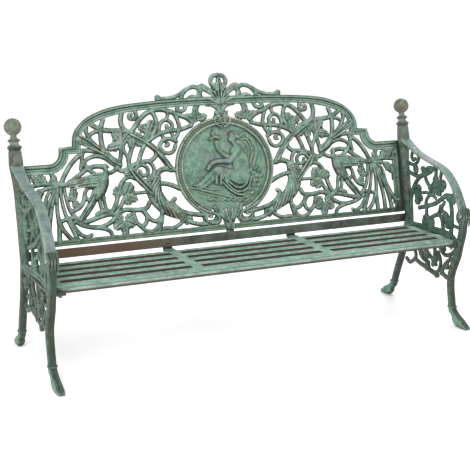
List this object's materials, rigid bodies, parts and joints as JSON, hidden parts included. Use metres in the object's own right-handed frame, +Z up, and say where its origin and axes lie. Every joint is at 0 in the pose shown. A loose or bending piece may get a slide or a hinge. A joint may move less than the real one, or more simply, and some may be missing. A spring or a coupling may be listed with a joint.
{
  "type": "garden bench",
  "caption": "Long cast-iron garden bench with an arched scrollwork back, oval relief medallion, slotted seat, curved arms and cabriole legs for outdoor seating.",
  "frame": {"origin": "on the ground under the middle of the bench, half way between the front and rear hooves", "axes": "+X along the bench to the sitter's left hand, +Y to the back, +Z up; the sitter faces -Y"},
  "size_m": [1.798, 0.656, 1.0492],
  "materials": {
    "painted_casting": "aged green paint over cast iron, worn on the edges, matt",
    "seat_paint": "lighter, rubbed green paint over cast iron, matt",
    "dark_casting": "dark weathered green paint over cast iron, matt",
    "worn_rail": "brown rusted iron with traces of green paint",
    "fastener": "rusted steel hardware with paint in the corners"
  },
  "bodies": {
    "root": {"end_frame_left": "painted_casting", "end_frame_right": "painted_casting", "back_panel": "painted_casting", "medallion_plaque": "painted_casting", "seat_casting": "seat_paint", "finial_left": "dark_casting", "finial_right": "dark_casting", "rear_rail": "worn_rail", "finial_studs": "fastener", "plaque_bolts": "fastener", "panel_bolts": "fastener", "panel_nuts": "fastener", "rail_bolts": "fastener", "rail_nuts": "fastener", "seat_screws": "fastener", "seat_washers": "fastener", "seat_nuts": "fastener", "tab_bolts": "fastener", "tab_nuts": "fastener", "lug_bolt": "fastener", "lug_nut": "fastener"}
  },
  "joints": []
}
